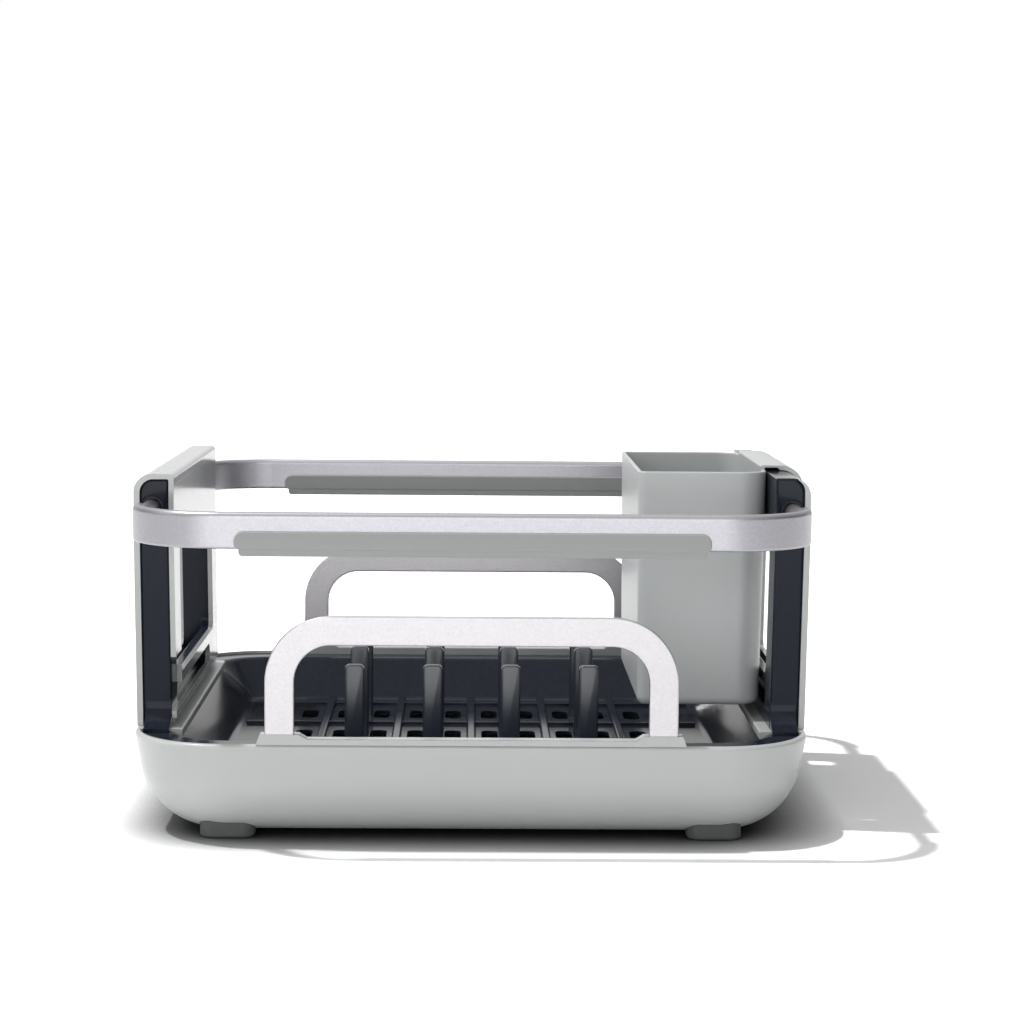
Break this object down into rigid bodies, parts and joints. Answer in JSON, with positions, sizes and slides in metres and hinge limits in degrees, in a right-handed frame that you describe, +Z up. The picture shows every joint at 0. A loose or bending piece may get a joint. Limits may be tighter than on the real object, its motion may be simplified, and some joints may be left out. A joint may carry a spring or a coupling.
{
  "type": "dish rack",
  "caption": "Over-sink dish rack: base tub, drain tray with plate tines, side frames, pull-out front and rear rails, guard hoops and a lift-off utensil caddy.",
  "frame": {"origin": "centre of the footprint, on the surface that the feet stand on", "axes": "+X to the right frame with the caddy, +Y to the rear, +Z up; the front hoop faces -Y"},
  "size_m": [0.3591, 0.3634, 0.1897],
  "materials": {
    "tub_plastic": "satin moulded",
    "frame_plastic": "satin moulded",
    "caddy_plastic": "satin moulded",
    "dark_plastic": "glossy moulded",
    "rail_aluminium": "satin, fine speckle",
    "hoop_aluminium": "satin, fine speckle",
    "grip_rubber": "matte",
    "foot_rubber": "matte",
    "bearing_plastic": "matte",
    "screw_steel": "plain"
  },
  "bodies": {
    "rack": {"base_tub": "tub_plastic", "inner_tray": "dark_plastic", "plate_tines_front": "dark_plastic", "plate_tines_middle": "dark_plastic", "plate_tines_rear": "dark_plastic", "foot_front_left": "foot_rubber", "foot_front_right": "foot_rubber", "foot_rear_left": "foot_rubber", "foot_rear_right": "foot_rubber", "guide_bush_front_left": "bearing_plastic", "guide_bush_front_right": "bearing_plastic", "guide_bush_rear_left": "bearing_plastic", "guide_bush_rear_right": "bearing_plastic", "left_frame_core": "dark_plastic", "right_frame_core": "dark_plastic", "left_frame_skin": "frame_plastic", "right_frame_skin": "frame_plastic", "left_inner_cover": "frame_plastic", "leg_screws": "screw_steel", "front_hoop": "hoop_aluminium", "rear_hoop": "hoop_aluminium", "front_hoop_base": "tub_plastic", "rear_hoop_base": "tub_plastic"},
    "front_rail": {"front_rail": "rail_aluminium", "front_grip": "grip_rubber", "front_rod_left": "rail_aluminium", "front_rod_right": "rail_aluminium", "front_rod_stop_left": "bearing_plastic", "front_rod_stop_right": "bearing_plastic"},
    "rear_rail": {"rear_rail": "rail_aluminium", "rear_grip": "grip_rubber", "rear_rod_left": "rail_aluminium", "rear_rod_right": "rail_aluminium", "rear_rod_stop_left": "bearing_plastic", "rear_rod_stop_right": "bearing_plastic"},
    "caddy": {"utensil_caddy": "caddy_plastic"}
  },
  "joints": [
    {"name": "front_rail_slide", "type": "slide", "parent": "rack", "child": "front_rail", "axis": [0, -1, 0], "range_m": [0, 0.075]},
    {"name": "rear_rail_slide", "type": "slide", "parent": "rack", "child": "rear_rail", "axis": [0, 1, 0], "range_m": [0, 0.075]},
    {"name": "caddy_lift", "type": "slide", "parent": "rack", "child": "caddy", "axis": [0, 0, 1], "range_m": [0, 0.03]}
  ]
}
